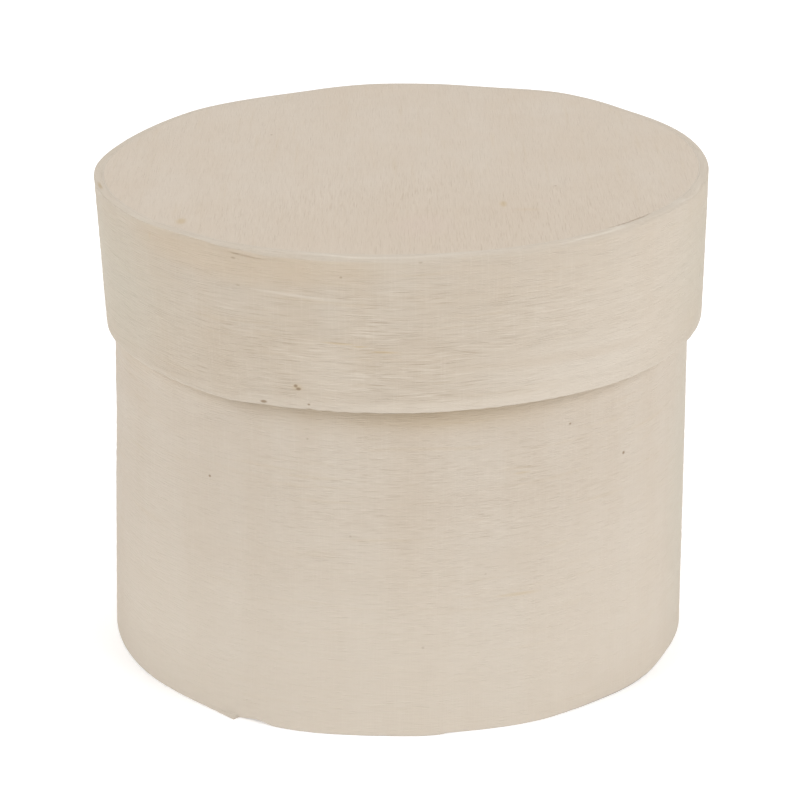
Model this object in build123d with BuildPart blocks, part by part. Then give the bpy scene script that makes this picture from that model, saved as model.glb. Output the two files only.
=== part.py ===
from build123d import *
import math
import os

# A round chip-wood box: a base and a lid, each a disc glued into a bent hoop of veneer.
# Millimetres. +Z is up, and the origin is the centre of the foot, on the table.

# Driving sizes of the whole box
foot_diameter = 81.6
base_height = 64.5
lid_height = 20.6

# Wood and glue
veneer_thickness = 1.2
base_disc_thickness = 3.0
lid_disc_thickness = 3.0
glue_thickness = 0.1
glue_bead = 0.6

# How the bent hoops lie: each is widest at its disc and draws in towards its open rim
base_draw_in = 1.1
lid_draw_in = 0.7
lid_clearance = 0.4

# Scarfed laps that close the hoops, both at the back
lap_length = 22.0
lap_end_thickness = 0.25
lid_lap_angle = 72.0
base_lap_angle = 108.0

# Edges: the lid's top edge is sanded off, and the cut edges of both hoops are broken
lid_top_edge_bevel = 0.7
lid_rim_edge_break = 0.25
mouth_edge_break = 0.25
foot_edge_break = 0.3

# Shares that keep an edge inside its wall, a lap inside the wood and a bead inside its corner
sanded_edge_share = 0.7
broken_edge_share = 0.4
lap_end_share = 0.4
bead_room_share = 0.5

# How far a cutting shape runs past the piece that it cuts
cut_overrun = 1.0

# Levels: the underside of the lid's disc rests on the mouth of the base
total_height = base_height + lid_disc_thickness
lid_rim_level = total_height - lid_height


def base_inside(level):
    """Inside radius of the base hoop at a level: it draws in towards the mouth."""
    return foot_diameter / 2 - veneer_thickness - base_draw_in * level / base_height


def lid_inside(level):
    """Inside radius of the lid hoop at a level: it clears the base at the rim and flares upward."""
    rim_radius = base_inside(lid_rim_level) + veneer_thickness + lid_clearance
    return rim_radius + lid_draw_in * (level - lid_rim_level) / lid_height


def hoop_section(inside, low, high):
    """Upright section of a hoop: a strip of veneer that leans with the hoop's flare."""
    with BuildSketch(Plane.XZ) as section:
        with BuildLine():
            Polyline(
                (inside(low), low),
                (inside(low) + veneer_thickness, low),
                (inside(high) + veneer_thickness, high),
                (inside(high), high),
                close=True,
            )
        make_face()
    return section.sketch


def disc_section(inside, low, high):
    """Half of a disc's upright section: its rim follows the hoop, a glue line away."""
    with BuildSketch(Plane.XZ) as section:
        with BuildLine():
            Polyline(
                (0, low),
                (inside(low) - glue_thickness, low),
                (inside(high) - glue_thickness, high),
                (0, high),
                close=True,
            )
        make_face()
    return section.sketch


def glue_section(inside, inner_level, outer_level, bead):
    """Upright section of the glue round a disc: a film along its rim and a slanted bead.

    The inner level is the disc's face inside the box, where the bead fills the corner.
    """
    into_box = math.copysign(1, inner_level - outer_level)
    bead_level = inner_level + into_box * bead
    rim_corner = (inside(inner_level) - glue_thickness, inner_level)
    bead_on_disc = (inside(inner_level) - glue_thickness - bead, inner_level)
    bead_on_hoop = (inside(bead_level), bead_level)
    with BuildSketch(Plane.XZ) as section:
        with BuildLine():
            Polyline(
                bead_on_disc,
                rim_corner,
                (inside(outer_level) - glue_thickness, outer_level),
                (inside(outer_level), outer_level),
                bead_on_hoop,
                close=True,
            )
        make_face()
    return section.sketch


def around(radius, angle):
    """Point in plan at a radius and an angle."""
    return Vector(radius, 0).rotate(Axis.Z, angle)


def lap_section(inside, level, angle):
    """Plan of a scarf's glue at a level: a film slanting through the wall, stepped at both ends."""
    inner = inside(level)
    outer = inner + veneer_thickness
    middle = inner + veneer_thickness / 2
    end_thickness = min(lap_end_thickness, lap_end_share * veneer_thickness)
    half_lap = math.degrees(lap_length / foot_diameter)
    film_turn = math.degrees(2 * glue_thickness / foot_diameter)
    start = angle - half_lap
    end = angle + half_lap
    outer_tip = around(outer - end_thickness, end)
    outer_root = around(inner + end_thickness + glue_thickness, start - film_turn)
    inner_tip = around(inner + end_thickness, start)
    inner_root = around(outer - end_thickness - glue_thickness, end + film_turn)
    with BuildSketch(Plane.XY.offset(level)) as section:
        with BuildLine():
            ThreePointArc(outer_tip, around(middle + glue_thickness / 2, angle), outer_root)
            Polyline(
                outer_root,
                around(inner - cut_overrun, start - film_turn),
                around(inner - cut_overrun, start),
                inner_tip,
            )
            ThreePointArc(inner_tip, around(middle - glue_thickness / 2, angle), inner_root)
            Polyline(
                inner_root,
                around(outer + cut_overrun, end + film_turn),
                around(outer + cut_overrun, end),
                outer_tip,
            )
        make_face()
    return section.sketch


def lap_film(inside, low, high, angle):
    """The scarf's glue as a sheet that runs past the hoop's edges and faces."""
    low_plan = lap_section(inside, low - cut_overrun, angle)
    high_plan = lap_section(inside, high + cut_overrun, angle)
    with BuildPart() as film:
        loft(sections=[low_plan, high_plan], ruled=True)
    return film.part


def within_wall(size, share):
    """An edge's size, limited by the wall that carries it."""
    return min(size, share * veneer_thickness)


# Base: its floor is flush with the foot of the hoop
base_floor = base_disc_thickness

with BuildPart() as base_ring:
    revolve(hoop_section(base_inside, 0, base_height), axis=Axis.Z)
    foot_edge = base_ring.edges().filter_by(GeomType.CIRCLE).group_by(Axis.Z)[0].sort_by(SortBy.RADIUS)[-1]
    chamfer(foot_edge, within_wall(foot_edge_break, broken_edge_share))
    mouth_edges = base_ring.edges().filter_by(GeomType.CIRCLE).group_by(Axis.Z)[-1]
    chamfer(mouth_edges, within_wall(mouth_edge_break, broken_edge_share))

with BuildPart() as base_lap_glue:
    add(base_ring.part)
    add(lap_film(base_inside, 0, base_height, base_lap_angle), mode=Mode.INTERSECT)
base_lap_glue.part.label = "base_lap_glue"

with BuildPart() as base_hoop:
    add(base_ring.part)
    add(lap_film(base_inside, 0, base_height, base_lap_angle), mode=Mode.SUBTRACT)
base_hoop.part.label = "base_hoop"

with BuildPart() as base_disc:
    revolve(disc_section(base_inside, 0, base_floor), axis=Axis.Z)
base_disc.part.label = "base_disc"

with BuildPart() as base_disc_glue:
    revolve(glue_section(base_inside, base_floor, 0, glue_bead), axis=Axis.Z)
base_disc_glue.part.label = "base_disc_glue"

# Lid: its top is flush with the hoop, and its bead stays clear of the base's mouth
lid_ceiling = base_height
mouth_room = lid_inside(lid_ceiling) - base_inside(lid_ceiling) - veneer_thickness
lid_bead = min(glue_bead, bead_room_share * mouth_room)

with BuildPart() as lid_ring:
    revolve(hoop_section(lid_inside, lid_rim_level, total_height), axis=Axis.Z)
    rim_edges = lid_ring.edges().filter_by(GeomType.CIRCLE).group_by(Axis.Z)[0]
    chamfer(rim_edges, within_wall(lid_rim_edge_break, broken_edge_share))
    top_edge = lid_ring.edges().filter_by(GeomType.CIRCLE).group_by(Axis.Z)[-1].sort_by(SortBy.RADIUS)[-1]
    chamfer(top_edge, within_wall(lid_top_edge_bevel, sanded_edge_share))

with BuildPart() as lid_lap_glue:
    add(lid_ring.part)
    add(lap_film(lid_inside, lid_rim_level, total_height, lid_lap_angle), mode=Mode.INTERSECT)
lid_lap_glue.part.label = "lid_lap_glue"

with BuildPart() as lid_hoop:
    add(lid_ring.part)
    add(lap_film(lid_inside, lid_rim_level, total_height, lid_lap_angle), mode=Mode.SUBTRACT)
lid_hoop.part.label = "lid_hoop"

with BuildPart() as lid_disc:
    revolve(disc_section(lid_inside, lid_ceiling, total_height), axis=Axis.Z)
lid_disc.part.label = "lid_disc"

with BuildPart() as lid_disc_glue:
    revolve(glue_section(lid_inside, lid_ceiling, total_height, lid_bead), axis=Axis.Z)
lid_disc_glue.part.label = "lid_disc_glue"

# One STEP file for each piece
os.makedirs("parts", exist_ok=True)
export_step(base_hoop.part, "parts/base_hoop.step")
export_step(base_disc.part, "parts/base_disc.step")
export_step(base_lap_glue.part, "parts/base_lap_glue.step")
export_step(base_disc_glue.part, "parts/base_disc_glue.step")
export_step(lid_hoop.part, "parts/lid_hoop.step")
export_step(lid_disc.part, "parts/lid_disc.step")
export_step(lid_lap_glue.part, "parts/lid_lap_glue.step")
export_step(lid_disc_glue.part, "parts/lid_disc_glue.step")
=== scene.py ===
import math
from types import SimpleNamespace

import bpy
import numpy as np
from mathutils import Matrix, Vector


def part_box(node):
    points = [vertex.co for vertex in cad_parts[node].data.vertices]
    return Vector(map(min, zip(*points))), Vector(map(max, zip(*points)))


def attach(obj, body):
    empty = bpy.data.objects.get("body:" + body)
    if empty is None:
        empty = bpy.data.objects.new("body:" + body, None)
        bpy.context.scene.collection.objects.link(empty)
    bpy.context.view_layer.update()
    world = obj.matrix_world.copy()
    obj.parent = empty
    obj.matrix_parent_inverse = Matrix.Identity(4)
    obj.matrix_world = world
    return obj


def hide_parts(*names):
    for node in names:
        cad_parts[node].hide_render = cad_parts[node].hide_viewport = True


# The looks of a round chip-wood box and its lid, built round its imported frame.
# Lengths are millimetres in the box's own frame, angles are degrees from +X towards +Y,
# and points become metres as they go into a mesh.

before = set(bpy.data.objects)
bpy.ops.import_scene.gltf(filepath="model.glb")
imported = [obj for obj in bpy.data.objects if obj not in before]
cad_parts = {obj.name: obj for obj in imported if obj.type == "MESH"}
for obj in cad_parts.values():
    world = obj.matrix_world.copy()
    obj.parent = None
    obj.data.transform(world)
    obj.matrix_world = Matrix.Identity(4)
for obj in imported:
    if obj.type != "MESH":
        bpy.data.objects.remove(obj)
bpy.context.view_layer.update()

MM = 0.001
TURN = 360.0

# Sizes that the box shares with its frame
VENEER = 1.2
GLUE = 0.1
GLUE_BEAD = 0.6
BASE_DRAW = 1.1
LID_FLARE = 0.7
LAP_LENGTH = 22.0
LAP_TIP = 0.25
BASE_LAP_ANGLE = 108.0
LID_LAP_ANGLE = 72.0
BASE_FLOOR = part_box("base_disc")[1].z / MM
BASE_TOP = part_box("base_hoop")[1].z / MM
LID_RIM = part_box("lid_hoop")[0].z / MM
LID_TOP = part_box("lid_disc")[1].z / MM
LID_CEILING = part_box("lid_disc")[0].z / MM
FOOT_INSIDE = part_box("base_disc")[1].x / MM + GLUE
LID_TOP_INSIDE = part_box("lid_disc")[1].x / MM + GLUE
GRAIN_RADIUS = FOOT_INSIDE + VENEER
HALF_LAP = math.degrees(LAP_LENGTH / (2 * GRAIN_RADIUS))
FILM_TURN = math.degrees(GLUE / GRAIN_RADIUS)

# How the two halves sit: hand work leans the base and tips the lid, by less than a degree
FOOT_SHIFT = -0.41
BASE_LEAN = 0.825
LEAN_LEVEL = 46.9
LID_RIM_SHIFT = 0.68
LID_TOP_SHIFT = 0.60
LID_TIP = math.radians(0.67)
LID_PITCH = math.radians(0.16)
LID_SETTLE = -0.05
MOUTH_GAP = 0.02

# Out-of-round: offset of a hoop's line from its circle, as angle and offset
FOOT_SWELL = (
    (-161, 0.18), (-147, 0.24), (-138, 0.06), (-129, 0.12), (-124, 0.15), (-120, -0.05),
    (-112, 0.18), (-105, -0.14), (-99, -0.55), (-90, -0.68), (-83, -0.35), (-79, -0.98),
    (-70, -0.48), (-62, 0.06), (-55, 0.02), (-48, 0.18), (-40, 0.66), (-34, 0.76),
    (-24, 0.36), (-12, 0.52), (20, 0.32), (60, -0.20), (100, -0.10), (140, 0.15), (180, 0.10),
)
MOUTH_SWELL = (
    (-150, -0.10), (-125, 0.10), (-90, -0.45), (-50, 0.05), (0, -0.30), (60, 0.15), (120, 0.20),
    (180, -0.10),
)
LID_RIM_SWELL = (
    (-165, -0.10), (-150, -0.20), (-138, -0.04), (-128, 0.51), (-121, 1.16), (-116, 0.56),
    (-105, 0.26), (-90, 0.25), (-76, 0.15), (-66, 0.33), (-56, 0.55), (-48, 0.62), (-41, 0.55),
    (-30, 0.25), (0, -0.05), (45, 0.10), (90, 0.20), (135, 0.00), (180, -0.42),
)
LID_TOP_SWELL = (
    (-151, -0.25), (-141, 0.00), (-134, -0.25), (-125, 0.10), (-110, 0.05), (-90, 0.05),
    (-60, 0.05), (-30, -0.05), (-15, -0.35), (5, -0.62), (20, -0.60), (32, -0.62), (42, -0.35),
    (56, 0.08), (64, 0.05), (71, -0.12), (82, 0.02), (96, 0.10), (112, -0.22), (120, -0.28),
    (130, -0.20), (138, -0.20), (147, -0.42), (156, -0.64), (165, -0.70), (173, -0.38),
    (180, -0.05),
)

# Rise and fall of the sanded top towards its rim, higher where the hoop was left proud, in mm
LID_TOP_RISE = (
    (-180, 0.0), (0, 0.0), (20, -0.08), (32, -0.15), (38, -0.20), (45, 0.05), (56, 0.18), (63, 0.0),
    (71, -0.20), (82, -0.02), (96, 0.11), (104, 0.0), (112, -0.24), (120, -0.23), (128, -0.14),
    (136, -0.06), (147, -0.19), (156, -0.21), (165, -0.14), (173, -0.03),
)

# How far the listed points are blurred round the box, in degrees
SWELL_BLUR = 2.0
EDGE_BLUR = 0.8

# Size of the lid's sanded top edge round the box: crisp at the left, round in front
LID_EDGE = (
    (-180, 0.25), (-155, 0.14), (-127, 0.14), (-122.5, 0.62), (-118, 0.70), (-114, 1.05),
    (-100, 1.00), (-60, 0.90), (-40, 0.55), (-15, 0.35), (20, 0.50), (90, 0.80), (150, 0.50),
)

# Where the lid's disc falls short of its hoop, and where it stands proud of it
DISC_SHORT = (
    (-57, 0.0), (-52, 0.05), (-47, 0.13), (-43, 0.16), (-40, 0.07), (-38, 0.0), (180, 0.0),
)
DISC_PROUD = ((-180, 0.0), (-100, 0.0), (-60, -0.03), (-42, 0.03), (-30, 0.0), (90, 0.0))

# The lid's veneer runs thin at its rim on the left, where it lies close to the base
LID_THIN = 0.42
LID_THIN_ANGLE = 180.0
LID_THIN_HALF = 60.0
LID_THIN_LEVELS = (54.0, 62.0)

# Pitch of a lookup round the ring, in degrees
TABLE_STEP = 0.25


def ring_table(points, blur):
    """Lookup by angle: straight between the given points, then blurred round the ring."""
    angles, offsets = zip(*points)
    steps = np.arange(0, TURN, TABLE_STEP)
    values = np.interp(steps, angles, offsets, period=TURN)
    waves = np.fft.rfft(values)
    waves *= np.exp(-0.5 * (np.arange(len(waves)) * math.radians(blur)) ** 2)
    values = np.fft.irfft(waves, len(steps))
    return lambda angle: np.interp(angle, steps, values, period=TURN)


foot_swell = ring_table(FOOT_SWELL, SWELL_BLUR)
mouth_swell = ring_table(MOUTH_SWELL, SWELL_BLUR)
lid_rim_swell = ring_table(LID_RIM_SWELL, SWELL_BLUR)
lid_top_swell = ring_table(LID_TOP_SWELL, SWELL_BLUR)
lid_rise = ring_table(LID_TOP_RISE, SWELL_BLUR)
lid_edge = ring_table(LID_EDGE, EDGE_BLUR)
disc_short = ring_table(DISC_SHORT, EDGE_BLUR)
disc_proud = ring_table(DISC_PROUD, SWELL_BLUR)


def smooth(value, low, high):
    """0 below low, 1 above high and an even curve between."""
    share = np.clip((value - low) / (high - low), 0, 1)
    return share * share * (3 - 2 * share)


def bump(value, middle, half):
    """1 at the middle, falling to 0 half a width away."""
    return 1 - smooth(np.abs(value - middle), 0, half)


def apart(angle, other):
    """Signed difference of two angles, the short way round."""
    return (angle - other + TURN / 2) % TURN - TURN / 2


class Waves:
    """Small uneven waves on a surface, the same each run, closed round the ring.

    around is the least and one past the most waves in a turn, and along the most radians per mm.
    """

    def __init__(self, seed, count, size, around, along):
        random = np.random.default_rng(seed)
        self.around = random.integers(around[0], around[1], count)
        self.along = random.uniform(-along, along, count)
        self.phase = random.uniform(0, 2 * math.pi, count)
        self.size = size / math.sqrt(count)

    def __call__(self, angle, level):
        total = 0 * (angle + level)
        for around, along, phase in zip(self.around, self.along, self.phase):
            total = total + np.sin(np.radians(angle) * around + level * along + phase)
        return total * self.size


# Unevenness of the bent wood, of its fibres, of its cut edges, of the laps' ends and of the beads
base_waves = Waves(seed=11, count=9, size=0.05, around=(2, 9), along=0.12)
lid_waves = Waves(seed=12, count=9, size=0.05, around=(2, 9), along=0.20)
ridges = Waves(seed=13, count=14, size=0.016, around=(1, 14), along=5.0)
rim_fuzz = Waves(seed=14, count=16, size=0.035, around=(20, 150), along=0.0)
foot_fuzz = Waves(seed=15, count=16, size=0.035, around=(20, 150), along=0.0)
seam_cut = Waves(seed=16, count=5, size=0.10, around=(0, 1), along=0.5)
bead_waves = Waves(seed=17, count=12, size=0.22, around=(3, 60), along=0.0)


def lid_inside(angle, level):
    """Inside radius of the lid's hoop."""
    share = (level - LID_RIM) / (LID_TOP - LID_RIM)
    swell = lid_rim_swell(angle) * (1 - share) + lid_top_swell(angle) * share
    return LID_TOP_INSIDE - LID_FLARE * (1 - share) + swell + lid_waves(angle, level)


def lid_thin(angle, level):
    """How far the lid's inside face is pared away towards its outside."""
    near = bump(apart(angle, LID_THIN_ANGLE), 0, LID_THIN_HALF)
    return LID_THIN * near * (1 - smooth(level, *LID_THIN_LEVELS))


def base_shift(level):
    """How far the leaning base lies along X at a level."""
    return FOOT_SHIFT + BASE_LEAN * level / LEAN_LEVEL


def lid_shift(level):
    """How far the lid lies along X at a level."""
    share = (level - LID_RIM) / (LID_TOP - LID_RIM)
    return LID_RIM_SHIFT + (LID_TOP_SHIFT - LID_RIM_SHIFT) * share


# Play that the base keeps inside the lid, and how far down it takes to swell out again
FIT_GAP = 0.05
FIT_FADE = 25.0


def base_inside(angle, level):
    """Inside radius of the base's hoop. Under the lid's rim it stays clear of the lid."""
    share = level / BASE_TOP
    swell = foot_swell(angle) * (1 - share) + mouth_swell(angle) * share
    radius = FOOT_INSIDE - BASE_DRAW * share + swell + base_waves(angle, level)
    covered = np.maximum(level, LID_RIM)
    lean = (lid_shift(covered) - base_shift(level)) * np.cos(np.radians(angle))
    room = lid_inside(angle, covered) + lid_thin(angle, covered) + lean - VENEER - FIT_GAP
    excess = np.maximum(radius - room, 0)
    return radius - excess * smooth(level, LID_RIM - FIT_FADE, LID_RIM)


def tip(x, y):
    """How far the tipped lid lies above its level place."""
    return x * math.tan(LID_TIP) + y * math.tan(LID_PITCH) + LID_SETTLE


def place_lid(x, y, z):
    """Points of the lid where the tipped lid has them."""
    x = x + lid_shift(z)
    return x, y, z + tip(x, y)


def place_base(x, y, z):
    """Points of the base where it leans, with its mouth cut to the tipped lid."""
    x = x + base_shift(z)
    return x, y, z + z / BASE_TOP * (tip(x, y) - MOUTH_GAP)


# Nicks in the cut edges: angle, half width along the edge and depth
RIM_NICKS = (
    (-114.9, 0.40, 0.09), (-106.6, 0.25, 0.10), (-62.0, 0.5, 0.08), (31.0, 0.6, 0.22),
    (148.0, 0.4, 0.18),
)
FOOT_NICKS = ((-117.4, 2.9, 0.40), (-80.0, 1.4, 0.10), (24.0, 0.7, 0.3), (171.0, 0.9, 0.2))


def nicks(angle, table):
    """How deep the nicks cut into an edge."""
    depth = 0 * angle
    for middle, half, deep in table:
        length = np.radians(apart(angle, middle)) * GRAIN_RADIUS
        depth = np.maximum(depth, deep * bump(length, 0, half))
    return depth


# A splinter at the foot has sprung straight out of the bend and broken off short
SPLINTER_ROOT = -132.5
SPLINTER_END = -121.7
SPLINTER_BREAK = 0.25
SPLINTER_TALL = 0.6
SPLINTER_SPRING = 1.35


def splinter(angle, level):
    """How far the splinter stands off the hoop: it lies on the tangent from its root."""
    turn = np.radians(np.clip(apart(angle, SPLINTER_ROOT), 0, SPLINTER_END - SPLINTER_ROOT))
    stand = GRAIN_RADIUS * (1 / np.cos(turn) - 1) * SPLINTER_SPRING
    left = 1 - smooth(apart(angle, SPLINTER_END), 0, SPLINTER_BREAK)
    return stand * left * (1 - smooth(level, 0, SPLINTER_TALL))


def flat(angle, level):
    """0 at each point: a wall with no splinter and no thinned part."""
    return 0 * level


# The feathered lip that the sanding left under the lid's edge, at the front left
LIP_MIDDLE = -117.2
LIP_HALF = 5.2
LIP_SIZE = 0.20


def lid_lip(angle):
    """How far the lip stands out round the lid."""
    return LIP_SIZE * smooth(LIP_HALF - np.abs(apart(angle, LIP_MIDDLE)), 0, LIP_HALF / 2)


# Where the cut edges lie: below the lid's rim in the frame, over the table, and the floor's set-in
RIM_SAG = 0.05
FOOT_CLEAR = 0.01
FLOOR_SET_IN = 0.06


def level_field(value, *extras):
    """A level round the ring, with its uneven parts."""
    return lambda angle: value + sum(extra(angle) for extra in extras)


def constant(value):
    """The same value all round."""
    return lambda angle: value + 0 * angle


# The two halves: each with its levels, the roundness of its outer and inner edges, the knots
# where its strip needs extra columns, and how worn its low and high edges look
base_half = SimpleNamespace(
    body="base", lap=BASE_LAP_ANGLE, inside=base_inside, place=place_base, seed=3,
    low=level_field(
        FOOT_CLEAR, lambda a: nicks(a, FOOT_NICKS), lambda a: np.maximum(foot_fuzz(a, 0), 0)),
    high=level_field(BASE_TOP, lambda a: -np.maximum(rim_fuzz(a, 0), 0)),
    low_edge=(constant(0.18), constant(0.05)), high_edge=(constant(0.28), constant(0.22)),
    lip=constant(0.0), splinter=splinter, thin=flat,
    knots=(SPLINTER_END, SPLINTER_END + SPLINTER_BREAK), worn=(0.5, 0.6),
)
lid_half = SimpleNamespace(
    body="lid", lap=LID_LAP_ANGLE, inside=lid_inside, place=place_lid, seed=5,
    low=level_field(LID_RIM - RIM_SAG, lambda a: nicks(a, RIM_NICKS), lambda a: rim_fuzz(a, 0)),
    high=level_field(LID_TOP, lid_rise),
    low_edge=(constant(0.16), constant(0.2)), high_edge=(lid_edge, constant(0.02)),
    lip=lid_lip, splinter=flat, thin=lid_thin, knots=(), worn=(0.8, 0.6),
)


def corner_drop(distance, size):
    """How far a rounded corner lies below its flat, at a distance in from its face."""
    left = np.clip(size - distance, 0, size)
    return size - np.sqrt(np.maximum(size**2 - left**2, 0))


def end_level(half, angle, depth, end):
    """Level of a hoop's top or bottom edge at a depth out from its inside face."""
    if end == "high":
        level, edges, way = half.high, half.high_edge, -1
    else:
        level, edges, way = half.low, half.low_edge, 1
    outer, inner = edges[0](angle), edges[1](angle)
    drop = corner_drop(VENEER - depth, outer) + corner_drop(depth, inner)
    return level(angle) + way * drop


# Slant of the laps' ends, in degrees of turn for each millimetre of height
SEAM_SLANT = 0.008


def seam_wander(half, angle, level):
    """How a lap's two ends wander from the square, in degrees: they were cut by hand."""
    outer = bump(np.abs(apart(angle, half.lap + HALF_LAP)), 0, HALF_LAP)
    inner = bump(np.abs(apart(angle, half.lap - HALF_LAP)), 0, HALF_LAP)
    slant = (level - LID_RIM) * SEAM_SLANT
    outer_cut = seam_cut(0.0, level + half.seed) + slant
    inner_cut = seam_cut(0.0, level * 1.3) - slant
    return outer * outer_cut + inner * inner_cut


def wall_point(half, angle, level, depth):
    """Points of a hoop from the angle and level along it and the depth out from its inside face."""
    turned = angle + seam_wander(half, angle, level)
    radius = half.inside(turned, level) + depth + ridges(turned, level) * depth / VENEER
    turn = np.radians(turned)
    return np.stack(half.place(radius * np.cos(turn), radius * np.sin(turn), level), -1)


# The sprung outer end of a lap: how far it stands off, over what length, and how unevenly
TIP_LIFT = 0.15
TIP_REACH = 4.0
TIP_WAVE = 0.4


def tip_lift(half, angle, level):
    """How far the outer end of a lap has sprung away from the wall below it."""
    end = half.lap + HALF_LAP + TURN
    near = 1 - np.radians(end - angle) * GRAIN_RADIUS / TIP_REACH
    return TIP_LIFT * np.clip(near, 0, 1) ** 2 * (1 + TIP_WAVE * np.sin(level * 0.9 + half.seed))


# Faces that meet at more than this many degrees keep a crisp edge between them
SHARP_ANGLE = 50.0


def add_piece(body, node, points, faces, material, grain, wear):
    """A mesh from points in millimetres that rides on a body and stands for a node of the frame.

    grain is where each point lies in the wood: along the grain, across it and in depth.
    wear is how far each point takes the look of a cut or sanded edge.
    """
    name = node + "_finished"
    mesh = bpy.data.meshes.new(name)
    mesh.from_pydata((np.asarray(points).reshape(-1, 3) * MM).tolist(), [], faces)
    grain_field = mesh.attributes.new("grain", "FLOAT_VECTOR", "POINT")
    grain_field.data.foreach_set("vector", np.asarray(grain, np.float32).ravel())
    wear_field = mesh.attributes.new("wear", "FLOAT", "POINT")
    wear_field.data.foreach_set("value", np.asarray(wear, np.float32).ravel())
    mesh.polygons.foreach_set("use_smooth", np.ones(len(mesh.polygons), bool))
    mesh.set_sharp_from_angle(angle=math.radians(SHARP_ANGLE))
    mesh.materials.append(material)
    mesh.validate()
    piece = bpy.data.objects.new(name, mesh)
    bpy.context.scene.collection.objects.link(piece)
    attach(piece, body)
    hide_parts(node)


def grid_faces(columns, rows, closed_columns, closed_rows):
    """Quads of a grid whose points run row by row within each column."""
    i = np.arange(columns if closed_columns else columns - 1)
    j = np.arange(rows if closed_rows else rows - 1)
    i, j = (part.ravel() for part in np.meshgrid(i, j, indexing="ij"))
    next_i, next_j = (i + 1) % columns, (j + 1) % rows
    corners = (i * rows + j, next_i * rows + j, next_i * rows + next_j, i * rows + next_j)
    return np.stack(corners, -1).tolist()


def lap_columns(half, pitch):
    """Angles along a hoop's strip, with the depths of its inside and outside faces.

    The strip starts under the lap, runs once round the box and ends on top of the lap.
    """
    hair = FILM_TURN / 20
    start, end = half.lap - HALF_LAP, half.lap + HALF_LAP
    last = end + TURN
    butt_in, butt_out = start + TURN - FILM_TURN, end + FILM_TURN
    count = round(math.radians(last - start) * GRAIN_RADIUS / pitch)
    knots = [butt_in - hair, butt_in, butt_out, butt_out + hair]
    knots += [knot + TURN if knot < start else knot for knot in half.knots]
    angles = np.unique(np.concatenate([np.linspace(start, last, count), knots]))
    outside = np.interp(
        angles, [start, butt_out, butt_out + hair], [LAP_TIP, VENEER - LAP_TIP - GLUE, VENEER])
    inside = np.interp(
        angles, [butt_in - hair, butt_in, last], [0, LAP_TIP + GLUE, VENEER - LAP_TIP])
    return angles[:, None], inside[:, None], outside[:, None]


def face_rows(length, pitch):
    """Places along a face, as shares of its length, closer together at its ends."""
    near = np.array([0, 0.05, 0.25, 0.6])
    margin = 1.1
    middle = np.linspace(margin, length - margin, round(length / pitch))
    return np.concatenate([near, middle, length - near[::-1]]) / length


# Rows across a hoop's cut edges, as shares of the wood's thickness there
EDGE_SHARES = np.array([0.99, 0.96, 0.91, 0.84, 0.75, 0.64, 0.50, 0.35, 0.20, 0.10, 0.04])

# How far the look of a cut edge reaches: from the low edge, from the high one, and its share
# on the outside face, which is what lies in the outermost skin of the wall
WEAR_REACH = 0.45
SANDED_REACH = 0.80
FACE_WEAR = 0.3
FACE_SKIN = 0.03

# The lip's share in the row under the top one, and the depth from which wood springs out
LIP_UNDER = 0.6
SPRING_DEPTH = 0.3 * VENEER


def build_hoop(half, node, columns_pitch, outside_pitch, inside_pitch, material):
    """A bent strip of veneer with scarfed ends, as one closed loop of rows swept along it."""
    angle, inner, outer = lap_columns(half, columns_pitch)
    length = LID_TOP - LID_RIM if half is lid_half else BASE_TOP
    up, down = face_rows(length, outside_pitch)[None], face_rows(length, inside_pitch)[None, ::-1]
    outer_low, outer_high = (end_level(half, angle, outer, end) for end in ("low", "high"))
    inner_low, inner_high = (end_level(half, angle, inner, end) for end in ("low", "high"))
    across = inner + (outer - inner) * EDGE_SHARES[None]
    back = across[:, ::-1]
    depth = np.concatenate([outer + 0 * up, across, inner + 0 * down, back], 1)
    level = np.concatenate([
        outer_low + (outer_high - outer_low) * up,
        end_level(half, angle, across, "high"),
        inner_low + (inner_high - inner_low) * down,
        end_level(half, angle, back, "low"),
    ], 1)
    angle = angle + 0 * level
    depth = depth + half.thin(angle, level) * (VENEER - depth) / VENEER * (depth < VENEER / 2)
    depth = depth + half.splinter(angle, level) * smooth(depth, SPRING_DEPTH, VENEER)
    depth = depth + tip_lift(half, angle, level)
    lip = np.zeros_like(level)
    top_row = up.shape[1] - 1
    lip[:, top_row] = half.lip(angle[:, 0])
    lip[:, top_row + 1] = half.lip(angle[:, 0]) * LIP_UNDER
    points = wall_point(half, angle, level, depth + lip)
    columns, rows = level.shape
    faces = grid_faces(columns, rows, False, True)
    faces.append(list(range(rows)))
    faces.append([(columns - 1) * rows + j for j in reversed(range(rows))])
    grain = np.stack([np.radians(angle) * GRAIN_RADIUS, level, depth], -1)
    low_wear = np.exp(-np.abs(level - half.low(angle)) / WEAR_REACH)
    high_wear = np.exp(-np.abs(level - half.high(angle)) / SANDED_REACH)
    high_wear = high_wear * np.where(depth > VENEER - FACE_SKIN, FACE_WEAR, 1.0)
    wear = half.worn[0] * low_wear + half.worn[1] * high_wear
    add_piece(half.body, node, points, faces, material, grain, wear)


# Columns round a disc or its glue, and rows out from a disc's middle as shares of its radius
DISC_COLUMNS = 720
DISC_ANGLES = np.arange(DISC_COLUMNS)[:, None] * TURN / DISC_COLUMNS
DISC_SHARES = np.concatenate([np.linspace(0.03, 0.96, 32), [0.98, 0.99, 0.998]])[None]


def disc_rim(half, angle, level):
    """Radius of a disc's rim: a glue line in from the hoop, and more where it was sawn small."""
    short = disc_short(angle) if half is lid_half else 0
    return half.inside(angle, level) - GLUE - short


def disc_point(half, angle, share, level, lift):
    """Points of a disc, from the share of its radius and a level, lifted off that level."""
    radius = disc_rim(half, angle, level) * share
    turn = np.radians(angle)
    x, y, z = half.place(radius * np.cos(turn), radius * np.sin(turn), level + 0 * radius)
    return np.stack([x, y, z + lift], -1)


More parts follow.
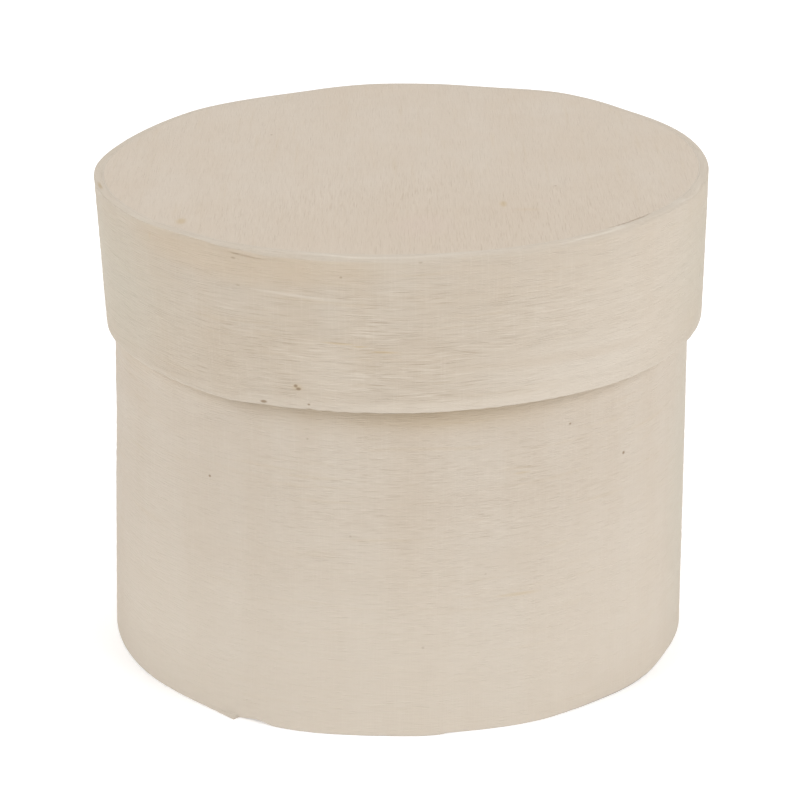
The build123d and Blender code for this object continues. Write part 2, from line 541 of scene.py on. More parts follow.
# A disc's face warps a little. Down its rim run a few rows between two corners that are broken
# by a hair, with a row of their own inside them, and its edge has a little wear.
disc_warp = Waves(seed=21, count=8, size=0.05, around=(1, 4), along=0.16)
RIM_SHARES = np.array([0.0, 0.25, 0.5, 0.75, 1.0])
RIM_BREAK = 0.03
CORNER_MIDDLE = 0.3
DISC_WEAR = 0.2


def build_disc(half, node, low, high, material):
    """A sawn disc: a closed surface from its underside's middle, round its rim, to its top's."""
    face = DISC_SHARES
    break_share = RIM_BREAK / GRAIN_RADIUS
    corner = np.array([[1 - break_share, 1 - break_share * CORNER_MIDDLE]])
    side = np.array([[1.0] * len(RIM_SHARES)])
    share = np.concatenate([face, corner, side, corner[:, ::-1], face[:, ::-1]], 1)
    side_levels = low + RIM_BREAK + (high - low - 2 * RIM_BREAK) * RIM_SHARES[None]
    step = np.array([[0, CORNER_MIDDLE * RIM_BREAK]])
    level = np.concatenate([
        low + 0 * face,
        low + step,
        side_levels,
        high - step[:, ::-1],
        high + 0 * face,
    ], 1)
    share, level, angle = (part + 0 * (DISC_ANGLES + share) for part in (share, level, DISC_ANGLES))
    over = level > (low + high) / 2
    proud = 0
    if half is lid_half:
        proud = disc_proud(angle) * smooth(share, 0.8, 1.0)
        proud = proud + lid_rise(angle) * smooth(share, 0.85, 1.0)
    warp = disc_warp(angle, share * GRAIN_RADIUS) * share * (1 - smooth(share, 0.9, 1.0))
    points = disc_point(half, angle, share, level, np.where(over, proud + warp, 0))
    columns, rows = share.shape
    faces = grid_faces(columns, rows, True, False)
    poles = np.stack([points[:, 0].mean(0), points[:, -1].mean(0)])
    low_pole, high_pole = columns * rows, columns * rows + 1
    for i in range(columns):
        j = (i + 1) % columns
        faces.append([i * rows, low_pole, j * rows])
        faces.append([i * rows + rows - 1, j * rows + rows - 1, high_pole])
    points = np.concatenate([points.reshape(-1, 3), poles])
    grain = np.stack([points[:, 1], points[:, 0], points[:, 2]], -1)
    wear = DISC_WEAR * np.concatenate([smooth(share, 0.985, 1.0).ravel(), [0, 0]])
    add_piece(half.body, node, points, faces, material, grain, wear)


def build_disc_glue(half, node, inner_level, outer_level, sunk, material):
    """The glue round a disc: a film along its rim and an uneven bead in the inside corner.

    sunk is how far the film stops short of the disc's outer face, round the box.
    """
    angle = DISC_ANGLES
    into = math.copysign(1, inner_level - outer_level)
    bead = GLUE_BEAD * (1 + bead_waves(angle, 0))
    rise = lid_rise(angle) if half is lid_half else 0
    end = outer_level + into * sunk(angle) + rise
    rim = disc_rim(half, angle, inner_level)
    wall = half.inside(angle, inner_level)
    film_outside, film_inside = half.inside(angle, end), disc_rim(half, angle, end)
    # From the disc's rim over the bead to the hoop, then along the hoop and across the film's end
    outline = [
        (rim, inner_level + into * 0.002),
        (rim - bead, inner_level + into * 0.002),
        (rim - bead * 0.95, inner_level + into * 0.06),
        (rim - bead * 0.45, inner_level + into * bead * 0.30),
        (wall - bead * 0.16, inner_level + into * bead * 0.62),
        (wall - 0.02, inner_level + into * bead),
        (wall, inner_level + into * bead),
        (film_outside, end),
        ((film_outside + film_inside) / 2, end),
        (film_inside, end),
    ]
    if into > 0:
        outline.reverse()
    radius = np.concatenate([part[0] for part in outline], 1)
    level = np.concatenate([part[1] + 0 * angle for part in outline], 1)
    turn = np.radians(angle) + 0 * radius
    points = np.stack(half.place(radius * np.cos(turn), radius * np.sin(turn), level), -1)
    columns, rows = radius.shape
    faces = grid_faces(columns, rows, True, True)
    grain = np.stack([turn * GRAIN_RADIUS, level, radius], -1)
    dusty = 1 - smooth(np.abs(level - outer_level), 0, 0.3)
    add_piece(half.body, node, points, faces, material, grain, dusty)


# How far a lap's glue is squeezed out past the wood, and the rows up its film
SQUEEZE = 0.05
FILM_LEVELS = 90


def build_lap_glue(half, node, material):
    """The film of glue in a lap: it slants through the wall and turns out at both ends."""
    start, end = half.lap - HALF_LAP, half.lap + HALF_LAP
    low_end, high_end = start - FILM_TURN, end + FILM_TURN
    run = np.linspace(0, 1, 30)
    slant = (VENEER - 2 * LAP_TIP - GLUE) * run
    outer_side = list(zip(low_end + (end - low_end) * run, LAP_TIP + GLUE + slant))
    inner_side = list(zip(start + (high_end - start) * run, LAP_TIP + slant))
    plan = [(low_end, -SQUEEZE)] + outer_side
    plan += [(end, VENEER + SQUEEZE), (high_end, VENEER + SQUEEZE)]
    plan += inner_side[::-1] + [(start, -SQUEEZE)]
    angle, depth = (np.array(part)[:, None] for part in zip(*plan))
    share = np.linspace(0, 1, FILM_LEVELS)[None]
    inside_wall = np.clip(depth, 0, VENEER)
    low, high = (end_level(half, angle, inside_wall, end_name) for end_name in ("low", "high"))
    level = low + (high - low) * share
    angle, depth = angle + 0 * level, depth + 0 * level
    points = wall_point(half, angle, level, depth)
    columns, rows = level.shape
    faces = grid_faces(columns, rows, True, False)
    faces.append([i * rows for i in reversed(range(columns))])
    faces.append([i * rows + rows - 1 for i in range(columns)])
    grain = np.stack([np.radians(angle) * GRAIN_RADIUS, level, depth], -1)
    add_piece(half.body, node, points, faces, material, grain, np.zeros(columns * rows))


# Colours of the wood and the glue, as linear red, green and blue
PALE = (0.543, 0.480, 0.401)
TAN = (0.503, 0.425, 0.336)
LID_PALE = (0.514, 0.448, 0.365)
LID_TAN = (0.493, 0.408, 0.310)
BROWN = (0.250, 0.180, 0.112)
OCHRE = (0.500, 0.402, 0.270)
# Pale raw wood, also used as painted bounce light on the base's lower part
RAW_AND_PAINTED_LIGHT = (0.610, 0.550, 0.468)
EDGE = (0.560, 0.503, 0.424)
# Painted highlight: the bright lines along the lid's top edge
PAINTED_EDGE_HIGHLIGHT = (0.700, 0.656, 0.568)
# Tone of the pale fibre lines, also used for painted light: a highlight along the lid's rim and
# bounce light low on the base
LINE_AND_PAINTED_LIGHT = (0.640, 0.575, 0.485)
ROSE = (0.560, 0.468, 0.390)
HONEY = (0.525, 0.418, 0.296)
DUN = (0.493, 0.468, 0.385)
# Painted shade: the warm colour of the shadow that the lid's rim casts on the base
PAINTED_RIM_SHADE = (0.540, 0.375, 0.165)
# Painted shade: the contact shadow along the foot's lower edge
FOOT_CONTACT_SHADE = (0.300, 0.285, 0.265)
STREAK = (0.400, 0.300, 0.165)
DISC_PALE = (0.565, 0.496, 0.413)
DISC_TAN = (0.540, 0.456, 0.362)
GLUE_COLOUR = (0.560, 0.500, 0.420)
GLUE_DARK = (0.500, 0.410, 0.290)


class Graph:
    """A material's nodes, written as expressions."""

    def __init__(self, name):
        self.material = bpy.data.materials.new(name)
        self.material.use_nodes = True
        self.tree = self.material.node_tree
        self.shader = self.tree.nodes["Principled BSDF"]

    def node(self, kind, inputs=None, **settings):
        """A new node with its settings, and its inputs fed with values or other nodes' outputs."""
        made = self.tree.nodes.new(kind)
        for key, value in settings.items():
            setattr(made, key, value)
        for key, value in (inputs or {}).items():
            self.feed(made.inputs[key], value)
        return made

    def feed(self, socket, value):
        """A link where the value is another node's output, and a set value elsewhere."""
        if isinstance(value, bpy.types.NodeSocket):
            self.tree.links.new(value, socket)
        elif isinstance(value, tuple) and len(value) == 3 and socket.type == "RGBA":
            socket.default_value = (*value, 1.0)
        else:
            socket.default_value = value

    def attribute(self, name, output):
        return self.node("ShaderNodeAttribute", attribute_name=name).outputs[output]

    def maths(self, operation, *values):
        return self.node("ShaderNodeMath", dict(enumerate(values)), operation=operation).outputs[0]

    def vector(self, operation, *values):
        made = self.node("ShaderNodeVectorMath", dict(enumerate(values)), operation=operation)
        return made.outputs["Value"] if operation == "LENGTH" else made.outputs[0]

    def noise(self, place, stretch, detail=2.0, roughness=0.5, offset=(0.0, 0.0, 0.0)):
        """Noise from 0 to 1 whose features are as long as stretch says, in millimetres."""
        frequency = tuple(1 / length for length in stretch)
        moved = self.vector("ADD", self.vector("MULTIPLY", place, frequency), offset)
        inputs = {"Vector": moved, "Scale": 1.0, "Detail": detail, "Roughness": roughness}
        return self.node("ShaderNodeTexNoise", inputs).outputs[0]

    def span(self, value, low, high, to_low=0.0, to_high=1.0):
        """value from low to high, as an even curve from to_low to to_high."""
        inputs = {0: value, 1: low, 2: high, 3: to_low, 4: to_high}
        return self.node("ShaderNodeMapRange", inputs, interpolation_type="SMOOTHSTEP").outputs[0]

    def mix(self, share, first, second):
        """A share of the second colour over the first."""
        made = self.node("ShaderNodeMix", data_type="RGBA")
        self.feed(made.inputs[0], share)
        self.feed(made.inputs[6], first)
        self.feed(made.inputs[7], second)
        return made.outputs[2]

    def spot(self, place, middle, halves, slope, strength, edge):
        """A soft oval on the surface: strength in its middle, 0 outside."""
        away = self.vector("SUBTRACT", place, (*middle, 0.0))
        away = self.vector("MULTIPLY", away, (1.0, 1.0, 0.0))
        if slope:
            parts = self.node("ShaderNodeSeparateXYZ", {0: away}).outputs
            lowered = self.maths("SUBTRACT", parts[1], self.maths("MULTIPLY", parts[0], slope))
            away = self.node("ShaderNodeCombineXYZ", {0: parts[0], 1: lowered}).outputs[0]
        size = self.vector("LENGTH", self.vector("DIVIDE", away, (*halves, 1.0)))
        return self.span(size, edge, 1.0, strength, 0.0)


# Gloss of the two materials, and the height of their fine relief in metres
WOOD_GLOSS = 0.25
GLUE_GLOSS = 0.4
WOOD_RELIEF = 0.00007
GLUE_RELIEF = 0.00005

# Strength of the fine dashes away from the lively zone, and what its middle adds
QUIET = 0.20
LIVELY = 0.84

# Depth in the wall at which a streak shows in the cut edge, and how far it fades to either side
STREAK_DEPTH = 0.75
STREAK_REACH = (0.12, 0.30)


def wood(name, pale, tan, spots, lines, pores, bands, wave, lively, face):
    """Bare sanded poplar: broad tones, fine fibres, short pores, raw edges and marks of its own.

    lines and pores are strength, length and width of the light and dark dashes, in millimetres,
    bands the width and the height of the soft tones across the grain, and wave the grain's sway.
    lively is the middle and the half sizes of the zone where the dashes show best, and face
    the depths over which the marks come in, so that they stay on the face that shows. The
    painted edge highlights and the painted contact shade at the foot run past it onto the
    edges, and STREAK marks lie in the cut edge alone. Some of the marks are painted light
    and shade rather than the wood's own colour.
    """
    g = Graph(name)
    place = g.attribute("grain", "Vector")
    sway = g.noise(place, (11.0, 3.5, 3.5), detail=1.0, offset=(3.1, 7.7, 1.3))
    lift = g.maths("MULTIPLY", g.maths("SUBTRACT", sway, 0.5), wave)
    flow = g.vector("ADD", place, g.node("ShaderNodeCombineXYZ", {1: lift}).outputs[0])
    broad = g.noise(flow, (50.0, 6.0, 6.0), detail=3.0, roughness=0.55, offset=(11.0, 2.0, 5.0))
    band = g.noise(place, (bands[0], bands[1], bands[1]), detail=2.0, offset=(4.0, 9.0, 2.0))
    streak = g.noise(flow, (16.0, 0.9, 0.9), detail=2.0, roughness=0.6, offset=(1.0, 5.0, 8.0))
    dark = g.noise(flow, (pores[1], pores[2], pores[2]), detail=1.0, offset=(6.0, 3.0, 4.0))
    light = g.noise(flow, (lines[1], lines[2], lines[2]), detail=1.0, offset=(2.0, 8.0, 6.0))
    sanding = g.noise(place, (0.20, 5.0, 5.0), detail=1.0, offset=(5.0, 1.0, 7.0))
    patch = g.noise(place, (13.0, 8.0, 8.0), detail=1.0, offset=(8.0, 4.0, 1.0))
    fine = g.span(patch, 0.32, 0.55, 0.45, 1.0)
    zone = g.spot(place, *lively, 0.0, LIVELY, 0.2)
    fine = g.maths("MULTIPLY", fine, g.maths("ADD", zone, QUIET))
    colour = g.mix(g.span(broad, 0.30, 0.72, 0.0, 0.30), pale, tan)
    colour = g.mix(g.span(band, 0.34, 0.68, 0.0, 0.34), colour, tan)
    colour = g.mix(g.span(streak, 0.56, 0.80, 0.0, 0.22), colour, OCHRE)
    colour = g.mix(g.span(sanding, 0.50, 0.75, 0.0, 0.16), colour, RAW_AND_PAINTED_LIGHT)
    line_share = g.maths("MULTIPLY", g.span(light, 0.53, 0.66, 0.0, lines[0]), fine)
    colour = g.mix(line_share, colour, LINE_AND_PAINTED_LIGHT)
    pore_share = g.maths("MULTIPLY", g.span(dark, 0.55, 0.72, 0.0, pores[0]), fine)
    colour = g.mix(pore_share, colour, BROWN)
    wear = g.maths("MULTIPLY", g.attribute("wear", "Fac"), g.span(streak, 0.2, 0.7, 0.55, 1.0))
    colour = g.mix(wear, colour, EDGE)
    depth = g.node("ShaderNodeSeparateXYZ", {0: place}).outputs[2]
    on_face = g.span(depth, *face)
    off_streak = g.maths("ABSOLUTE", g.maths("SUBTRACT", depth, STREAK_DEPTH))
    in_edge = g.span(off_streak, *STREAK_REACH, 1.0, 0.0)
    for middle, halves, slope, strength, edge, tone in spots:
        share = g.spot(flow, middle, halves, slope, strength, edge)
        if tone == STREAK:
            share = g.maths("MULTIPLY", share, in_edge)
        elif tone not in (PAINTED_EDGE_HIGHLIGHT, FOOT_CONTACT_SHADE):
            share = g.maths("MULTIPLY", share, on_face)
        colour = g.mix(share, colour, tone)
    g.feed(g.shader.inputs["Base Color"], colour)
    g.feed(g.shader.inputs["Roughness"], g.span(dark, 0.3, 0.8, 0.70, 0.86))
    g.shader.inputs["Specular IOR Level"].default_value = WOOD_GLOSS
    height = g.maths("SUBTRACT", g.maths("MULTIPLY", light, 0.8), g.maths("MULTIPLY", dark, 1.0))
    height = g.maths("ADD", height, g.maths("MULTIPLY", sanding, 0.25))
    bumps = g.node("ShaderNodeBump", {"Strength": 1.0, "Distance": WOOD_RELIEF, "Height": height})
    g.feed(g.shader.inputs["Normal"], bumps.outputs[0])
    return g.material


def glue_material():
    """Dried wood glue: amber where it is thick, with tiny bubbles and drawn edges."""
    g = Graph("dried_glue")
    place = g.attribute("grain", "Vector")
    thick = g.noise(place, (6.0, 1.5, 1.5), detail=2.0, offset=(3.0, 1.0, 2.0))
    bubbles = g.noise(place, (0.35, 0.35, 0.35), detail=1.0, offset=(7.0, 2.0, 5.0))
    colour = g.mix(g.span(thick, 0.35, 0.70, 0.0, 0.7), GLUE_COLOUR, GLUE_DARK)
    colour = g.mix(g.span(bubbles, 0.62, 0.80, 0.0, 0.35), colour, RAW_AND_PAINTED_LIGHT)
    colour = g.mix(g.attribute("wear", "Fac"), colour, EDGE)
    g.feed(g.shader.inputs["Base Color"], colour)
    g.feed(g.shader.inputs["Roughness"], g.span(bubbles, 0.3, 0.7, 0.35, 0.55))
    g.shader.inputs["Specular IOR Level"].default_value = GLUE_GLOSS
    bumps = g.node("ShaderNodeBump", {"Strength": 1.0, "Distance": GLUE_RELIEF, "Height": bubbles})
    g.feed(g.shader.inputs["Normal"], bumps.outputs[0])
    return g.material


def on_hoop(half, angle, level):
    """Place of a mark in a hoop's own grain, from its angle and level on the box."""
    start = half.lap - HALF_LAP
    unrolled = angle + TURN if angle < start else angle
    return (math.radians(unrolled) * GRAIN_RADIUS, level)


def seam_marks(half, level, tall):
    """Glue stains and handling along a lap's outer end, from its middle level and half height."""
    end = half.lap + HALF_LAP
    strip_end = math.radians(end + TURN) * GRAIN_RADIUS
    wall = math.radians(end) * GRAIN_RADIUS
    return [
        ((strip_end, level), (3.0, tall), 0.0, 0.40, 0.3, RAW_AND_PAINTED_LIGHT),
        ((wall, level), (2.2, tall), 0.0, 0.40, 0.1, TAN),
        ((wall, level), (0.30, tall), 0.0, 0.45, 0.3, BROWN),
        ((wall, level + tall * 0.3), (1.2, tall * 0.25), 0.0, 0.25, 0.2, GLUE_DARK),
    ]


def hoop_spots(half, table):
    """Marks of a table, with their angle and level turned into a place in the hoop's grain."""
    return [(on_hoop(half, angle, level), (long, tall), slope, strength, edge, tone)
            for angle, level, long, tall, slope, strength, edge, tone in table]


# Marks on the hoops: angle, level, half length, half height, slope, strength, edge and tone.
# Edge is the share of a mark's size from which it starts to fade.
LID_MARKS = (
    (-119.0, 65.8, 24.0, 4.0, 0.00, 0.40, 0.35, HONEY),
    (-109.0, 62.0, 8.5, 0.30, -0.06, 0.60, 0.10, RAW_AND_PAINTED_LIGHT),
    # The next two dark brown marks are painted shade: the shadow line under the feathered lip
    (-117.4, 66.52, 3.4, 0.11, -0.093, 0.34, 0.30, BROWN),
    (-119.4, 66.66, 0.8, 0.16, 0.00, 0.30, 0.30, BROWN),
    (-43.0, 58.0, 29.0, 17.0, 0.00, 0.34, 0.10, RAW_AND_PAINTED_LIGHT),
    # The next three pale marks on the top edge are painted highlights
    (-99.0, 67.5, 9.0, 0.10, 0.00, 0.30, 0.20, PAINTED_EDGE_HIGHLIGHT),
    (-80.0, 67.5, 9.0, 0.12, 0.00, 0.15, 0.20, PAINTED_EDGE_HIGHLIGHT),
    (-54.0, 67.5, 9.0, 0.12, 0.00, 0.31, 0.20, PAINTED_EDGE_HIGHLIGHT),
    (-58.0, 50.5, 24.0, 6.0, 0.00, 0.50, 0.10, RAW_AND_PAINTED_LIGHT),
    (-60.0, 52.2, 22.0, 1.1, -0.03, 0.45, 0.10, TAN),
    (-88.5, 55.6, 5.0, 2.6, 0.00, 0.40, 0.10, TAN),
    (-104.0, 52.0, 7.0, 5.5, 0.00, 0.30, 0.10, RAW_AND_PAINTED_LIGHT),
    (-168.0, 57.0, 14.0, 14.0, 0.00, 0.32, 0.10, LINE_AND_PAINTED_LIGHT),
    (-160.0, 57.0, 26.0, 16.0, 0.00, 0.40, 0.10, DUN),
    # Painted highlight: a pale band just above the lid's lower rim
    (-82.0, 47.6, 36.0, 1.3, 0.00, 0.38, 0.20, LINE_AND_PAINTED_LIGHT),
    # The next two pale marks on the top edge are painted highlights
    (-140.0, 67.5, 17.0, 0.12, 0.00, 0.14, 0.20, PAINTED_EDGE_HIGHLIGHT),
    (-30.0, 67.5, 15.0, 0.14, 0.00, 0.20, 0.20, PAINTED_EDGE_HIGHLIGHT),
    (-101.0, 56.0, 3.2, 0.24, -0.03, 0.75, 0.10, OCHRE),
    (-97.5, 55.6, 1.4, 0.20, 0.00, 0.80, 0.10, OCHRE),
    (-93.4, 54.9, 2.6, 0.22, -0.02, 0.85, 0.10, OCHRE),
    (-94.0, 54.9, 2.2, 0.08, -0.02, 0.25, 0.20, BROWN),
    (-101.4, 56.2, 1.4, 0.08, -0.02, 0.20, 0.20, BROWN),
    (-108.6, 49.7, 1.10, 0.75, 0.00, 0.60, 0.10, OCHRE),
    (-108.9, 49.9, 0.36, 0.32, 0.00, 0.85, 0.30, BROWN),
    (-108.4, 49.5, 0.46, 0.30, 0.00, 0.85, 0.30, BROWN),
    (-114.9, 47.2, 0.62, 0.26, 0.00, 0.85, 0.30, BROWN),
    (-106.6, 47.5, 0.26, 0.20, 0.00, 0.75, 0.30, BROWN),
    (-100.4, 65.0, 0.26, 0.22, 0.00, 0.45, 0.20, BROWN),
    (-87.1, 66.9, 0.35, 0.25, 0.00, 0.35, 0.20, BROWN),
    (-119.8, 66.0, 0.50, 0.25, 0.00, 0.40, 0.20, BROWN),
    (-119.0, 62.6, 0.45, 0.20, 0.00, 0.35, 0.20, BROWN),
    (-140.1, 66.0, 0.22, 0.70, 0.00, 0.50, 0.20, OCHRE),
    (-166.3, 67.5, 2.4, 1.50, 0.00, 0.58, 0.20, STREAK),
    (-14.0, 57.0, 20.0, 18.0, 0.00, 0.36, 0.10, DUN),
    (20.0, 55.0, 9.0, 0.35, 0.02, 0.40, 0.10, TAN),
    (60.0, 60.0, 0.30, 0.25, 0.00, 0.70, 0.30, BROWN),
    (130.0, 52.0, 16.0, 2.5, 0.02, 0.40, 0.20, TAN),
)
BASE_MARKS = (
    (-128.2, 34.2, 0.30, 0.26, 0.00, 0.85, 0.30, BROWN),
    (-57.2, 41.8, 0.26, 0.22, 0.00, 0.75, 0.30, BROWN),
    (-43.4, 35.3, 0.36, 0.32, 0.00, 0.90, 0.30, BROWN),
    (-85.4, 13.0, 0.28, 0.26, 0.00, 0.60, 0.20, BROWN),
    (-99.2, 28.8, 0.25, 0.20, 0.00, 0.35, 0.20, BROWN),
    (-73.7, 22.9, 0.25, 0.22, 0.00, 0.35, 0.20, BROWN),
    (-107.4, 42.0, 0.25, 0.20, 0.00, 0.35, 0.20, BROWN),
    (-69.0, 24.2, 5.5, 3.2, 0.00, 0.35, 0.10, TAN),
    (-67.2, 19.4, 4.4, 0.42, -0.02, 0.80, 0.10, OCHRE),
    (-67.0, 36.5, 1.7, 0.26, 0.00, 0.50, 0.10, OCHRE),
    (-88.5, 34.0, 3.6, 20.0, 0.00, 0.32, 0.25, TAN),
    # The next two warm marks are painted shade: the shadow under the lid's rim, painted onto the
    # base
    (-82.0, 44.9, 15.0, 2.4, 0.00, 0.08, 0.00, PAINTED_RIM_SHADE),
    (-87.0, 45.4, 34.0, 4.5, 0.00, 0.12, 0.05, PAINTED_RIM_SHADE),
    # Painted light: a broad pale band, lighter towards the foot, for the light thrown up from the
    # floor
    (-92.0, 0.0, 95.0, 40.0, 0.00, 0.50, 0.05, LINE_AND_PAINTED_LIGHT),
    # The next three grey marks are painted shade: the contact shadow along the foot
    (-40.0, 0.0, 21.0, 0.36, 0.00, 0.55, 0.30, FOOT_CONTACT_SHADE),
    (-158.0, 0.0, 14.0, 0.36, 0.00, 0.40, 0.30, FOOT_CONTACT_SHADE),
    (-100.0, 0.0, 40.0, 0.34, 0.00, 0.15, 0.30, FOOT_CONTACT_SHADE),
    # Painted light: the base made lighter low down at the left, for light from the floor
    (-135.0, 8.0, 26.0, 18.0, 0.00, 0.30, 0.10, RAW_AND_PAINTED_LIGHT),
    # Painted shade: a faint warm band all round, just under the lid's rim
    (-90.0, 46.6, 160.0, 3.0, 0.00, 0.10, 0.05, PAINTED_RIM_SHADE),
    # Painted light: the base made a little lighter low down at the right, for light from the floor
    (-50.0, 20.0, 20.0, 16.0, 0.00, 0.10, 0.10, RAW_AND_PAINTED_LIGHT),
    (-14.0, 24.0, 12.0, 36.0, 0.00, 0.40, 0.10, DUN),
    (10.0, 30.0, 12.0, 0.5, 0.01, 0.40, 0.10, TAN),
    (75.0, 20.0, 0.30, 0.25, 0.00, 0.80, 0.30, BROWN),
    (150.0, 45.0, 18.0, 1.0, 0.01, 0.35, 0.10, TAN),
)

# Marks on the discs: middle along and across the grain, half sizes, slope, strength, edge and tone
DISC_MARKS = (
    ((-30.0, 6.0), (30.0, 44.0), 0.0, 0.60, 0.10, DISC_TAN),
    ((-26.3, -27.7), (1.8, 1.0), 0.0, 0.85, 0.20, OCHRE),
    ((-20.9, 13.7), (1.8, 0.7), 0.0, 0.90, 0.20, OCHRE),
    ((-19.9, 19.4), (1.0, 1.1), 0.0, 0.60, 0.20, ROSE),
    ((-23.4, 16.8), (1.0, 2.6), 0.0, 0.42, 0.10, HONEY),
    ((-13.2, 20.9), (0.35, 0.25), 0.0, 0.55, 0.20, BROWN),
    ((-29.5, 3.0), (7.0, 6.0), 0.0, 0.60, 0.10, ROSE),
    ((14.0, -18.0), (0.4, 0.3), 0.0, 0.50, 0.20, BROWN),
    ((4.0, 25.0), (20.0, 14.0), 0.0, 0.34, 0.10, DISC_TAN),
)
FLOOR_MARKS = (
    ((12.0, -8.0), (5.0, 1.5), 0.0, 0.35, 0.10, TAN),
    ((-15.0, 16.0), (0.4, 0.3), 0.0, 0.70, 0.20, BROWN),
)

# How far the lid's glue line lies below the top: it is open where the disc falls short
lid_glue_sunk = ring_table(
    ((-56, 0.0), (-51, 0.04), (-46, 0.14), (-42, 0.18), (-38.5, 0.0), (180, 0.0)), EDGE_BLUR)
base_glue_sunk = constant(0.12)

# Depths in the wall over which a hoop's marks come in: the outside face alone
HOOP_FACE = (VENEER - 0.12, VENEER - 0.03)


def hoop_woods():
    """The veneer of the lid and of the base."""
    lid_spots = hoop_spots(lid_half, LID_MARKS) + seam_marks(lid_half, 57.0, 14.0)
    lid_veneer = wood(
        "lid_veneer", LID_PALE, LID_TAN, lid_spots,
        lines=(0.43, 4.2, 0.13), pores=(0.43, 3.9, 0.12), bands=(7.0, 30.0), wave=1.0,
        lively=(on_hoop(lid_half, -87.0, 54.0), (48.0, 17.0)), face=HOOP_FACE)
    base_spots = hoop_spots(base_half, BASE_MARKS) + seam_marks(base_half, 30.0, 42.0)
    base_veneer = wood(
        "base_veneer", PALE, TAN, base_spots,
        lines=(0.30, 2.3, 0.15), pores=(0.20, 2.2, 0.14), bands=(6.0, 60.0), wave=0.35,
        lively=(on_hoop(base_half, -80.0, 34.0), (38.0, 34.0)), face=HOOP_FACE)
    return lid_veneer, base_veneer


def disc_woods():
    """The wood of the lid's top and of the floor."""
    top_wood = wood(
        "top_wood", DISC_PALE, DISC_TAN, DISC_MARKS,
        lines=(0.40, 3.6, 0.16), pores=(0.34, 3.2, 0.15), bands=(9.0, 9.0), wave=0.15,
        lively=((-32.0, 6.0), (34.0, 44.0)), face=(LID_CEILING + 1.0, LID_CEILING + 1.5))
    floor_wood = wood(
        "floor_wood", DISC_PALE, DISC_TAN, FLOOR_MARKS,
        lines=(0.22, 3.6, 0.18), pores=(0.20, 3.4, 0.16), bands=(9.0, 9.0), wave=0.4,
        lively=((0.0, 0.0), (40.0, 40.0)), face=(BASE_FLOOR - 1.5, BASE_FLOOR - 1.0))
    return top_wood, floor_wood


def build_box():
    """All eight pieces. A hoop's pitches are those of its columns and of its two faces' rows."""
    lid_veneer, base_veneer = hoop_woods()
    top_wood, floor_wood = disc_woods()
    glue = glue_material()
    build_hoop(base_half, "base_hoop", 0.50, 0.75, 2.2, base_veneer)
    build_hoop(lid_half, "lid_hoop", 0.40, 0.45, 1.2, lid_veneer)
    build_disc(base_half, "base_disc", FLOOR_SET_IN, BASE_FLOOR, floor_wood)
    build_disc(lid_half, "lid_disc", LID_CEILING, LID_TOP, top_wood)
    build_disc_glue(base_half, "base_disc_glue", BASE_FLOOR, 0.0, base_glue_sunk, glue)
    build_disc_glue(lid_half, "lid_disc_glue", LID_CEILING, LID_TOP, lid_glue_sunk, glue)
    build_lap_glue(base_half, "base_lap_glue", glue)
    build_lap_glue(lid_half, "lid_lap_glue", glue)


# The photograph's camera: a long lens, a little above the lid. Lengths are millimetres, and
# its rise and roll are radians.
CAMERA_AIM = (0.163, 0.0, 32.057)
CAMERA_DISTANCE = 359.69
CAMERA_RISE = 0.3751
CAMERA_ROLL = -0.0038
CAMERA_LENS = 113.56
SENSOR = 36.0
CLIP_METRES = (0.01, 20.0)


def add_camera():
    """The camera stands in front of the box and looks a little down on it, rolled by a hair."""
    data = bpy.data.cameras.new("camera")
    data.lens, data.sensor_width = CAMERA_LENS, SENSOR
    data.clip_start, data.clip_end = CLIP_METRES
    camera = bpy.data.objects.new("camera", data)
    bpy.context.scene.collection.objects.link(camera)
    rise, roll = CAMERA_RISE, CAMERA_ROLL
    back = np.array([0, -math.cos(rise), math.sin(rise)])
    right = np.array([1.0, 0, 0])
    up = np.array([0, math.sin(rise), math.cos(rise)])
    rolled_right = math.cos(roll) * right + math.sin(roll) * up
    rolled_up = math.cos(roll) * up - math.sin(roll) * right
    stand = (np.array(CAMERA_AIM) + back * CAMERA_DISTANCE) * MM
    matrix = np.eye(4)
    for column, part in enumerate((rolled_right, rolled_up, back, stand)):
        matrix[:3, column] = part
    camera.matrix_world = Matrix(matrix.tolist())
    bpy.context.scene.camera = camera


# The studio: a wide pale floor with a faint glow, even room light and cooler lamps
FLOOR_HALF = 3.0
FLOOR_GLOW = 0.25
FLOOR_TONES = ((0.90, 0.90, 0.90), (0.93, 0.93, 0.93))
ROOM_LIGHT = 0.45
ROOM_COLOUR = (1.0, 0.950, 0.840)
LAMP_COLOUR = (0.980, 1.004, 1.085)


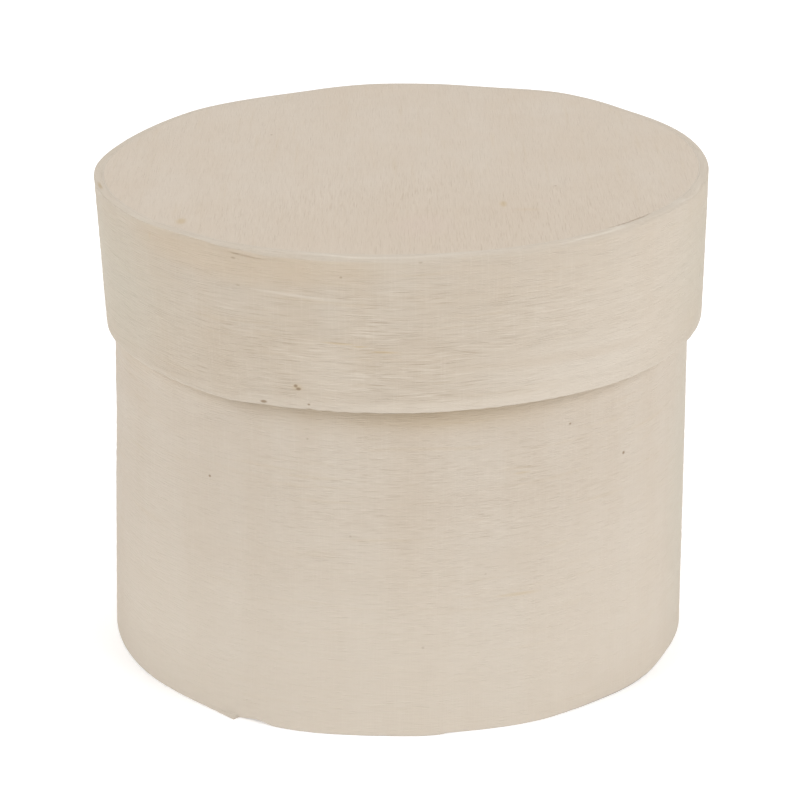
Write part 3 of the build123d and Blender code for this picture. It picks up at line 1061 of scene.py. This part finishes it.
def add_floor():
    """A plain pale floor under the box."""
    mesh = bpy.data.meshes.new("studio_floor")
    signs = ((-1, -1), (1, -1), (1, 1), (-1, 1))
    corners = [(x * FLOOR_HALF, y * FLOOR_HALF, 0) for x, y in signs]
    mesh.from_pydata(corners, [], [(0, 1, 2, 3)])
    g = Graph("studio_floor")
    place = g.node("ShaderNodeTexCoord").outputs["Object"]
    tone = g.noise(place, (0.4, 0.4, 0.4), detail=2.0)
    g.feed(g.shader.inputs["Base Color"], g.mix(tone, *FLOOR_TONES))
    g.shader.inputs["Roughness"].default_value = 0.9
    g.shader.inputs["Emission Color"].default_value = (1.0, 1.0, 1.0, 1.0)
    g.shader.inputs["Emission Strength"].default_value = FLOOR_GLOW
    mesh.materials.append(g.material)
    floor = bpy.data.objects.new("studio_floor", mesh)
    bpy.context.scene.collection.objects.link(floor)


def add_light(name, azimuth, rise, distance, size, power):
    """A soft square light that faces the box. Azimuth 0 is in front, and 90 is at the right."""
    data = bpy.data.lights.new(name, "AREA")
    data.shape, data.size, data.energy = "SQUARE", size, power
    data.color = LAMP_COLOUR
    light = bpy.data.objects.new(name, data)
    bpy.context.scene.collection.objects.link(light)
    turn, lift = math.radians(azimuth), math.radians(rise)
    flat_reach = math.cos(lift)
    away = Vector((math.sin(turn) * flat_reach, -math.cos(turn) * flat_reach, math.sin(lift)))
    light.location = away * distance
    light.rotation_mode = "QUATERNION"
    light.rotation_quaternion = away.to_track_quat("Z", "Y")


def add_studio():
    """Even warm room light, two cooler lamps in front at the sides and one high up behind."""
    scene = bpy.context.scene
    world = bpy.data.worlds.new("studio")
    world.use_nodes = True
    sky = world.node_tree.nodes["Background"]
    sky.inputs["Color"].default_value = (*ROOM_COLOUR, 1.0)
    sky.inputs["Strength"].default_value = ROOM_LIGHT
    scene.world = world
    scene.view_settings.view_transform = "Standard"
    add_light("left_light", azimuth=-60, rise=34, distance=0.9, size=0.50, power=3.20)
    add_light("right_light", azimuth=57, rise=34, distance=0.9, size=0.50, power=4.00)
    add_light("top_light", azimuth=180, rise=65, distance=0.9, size=0.50, power=2.6)


build_box()
add_floor()
add_studio()
add_camera()
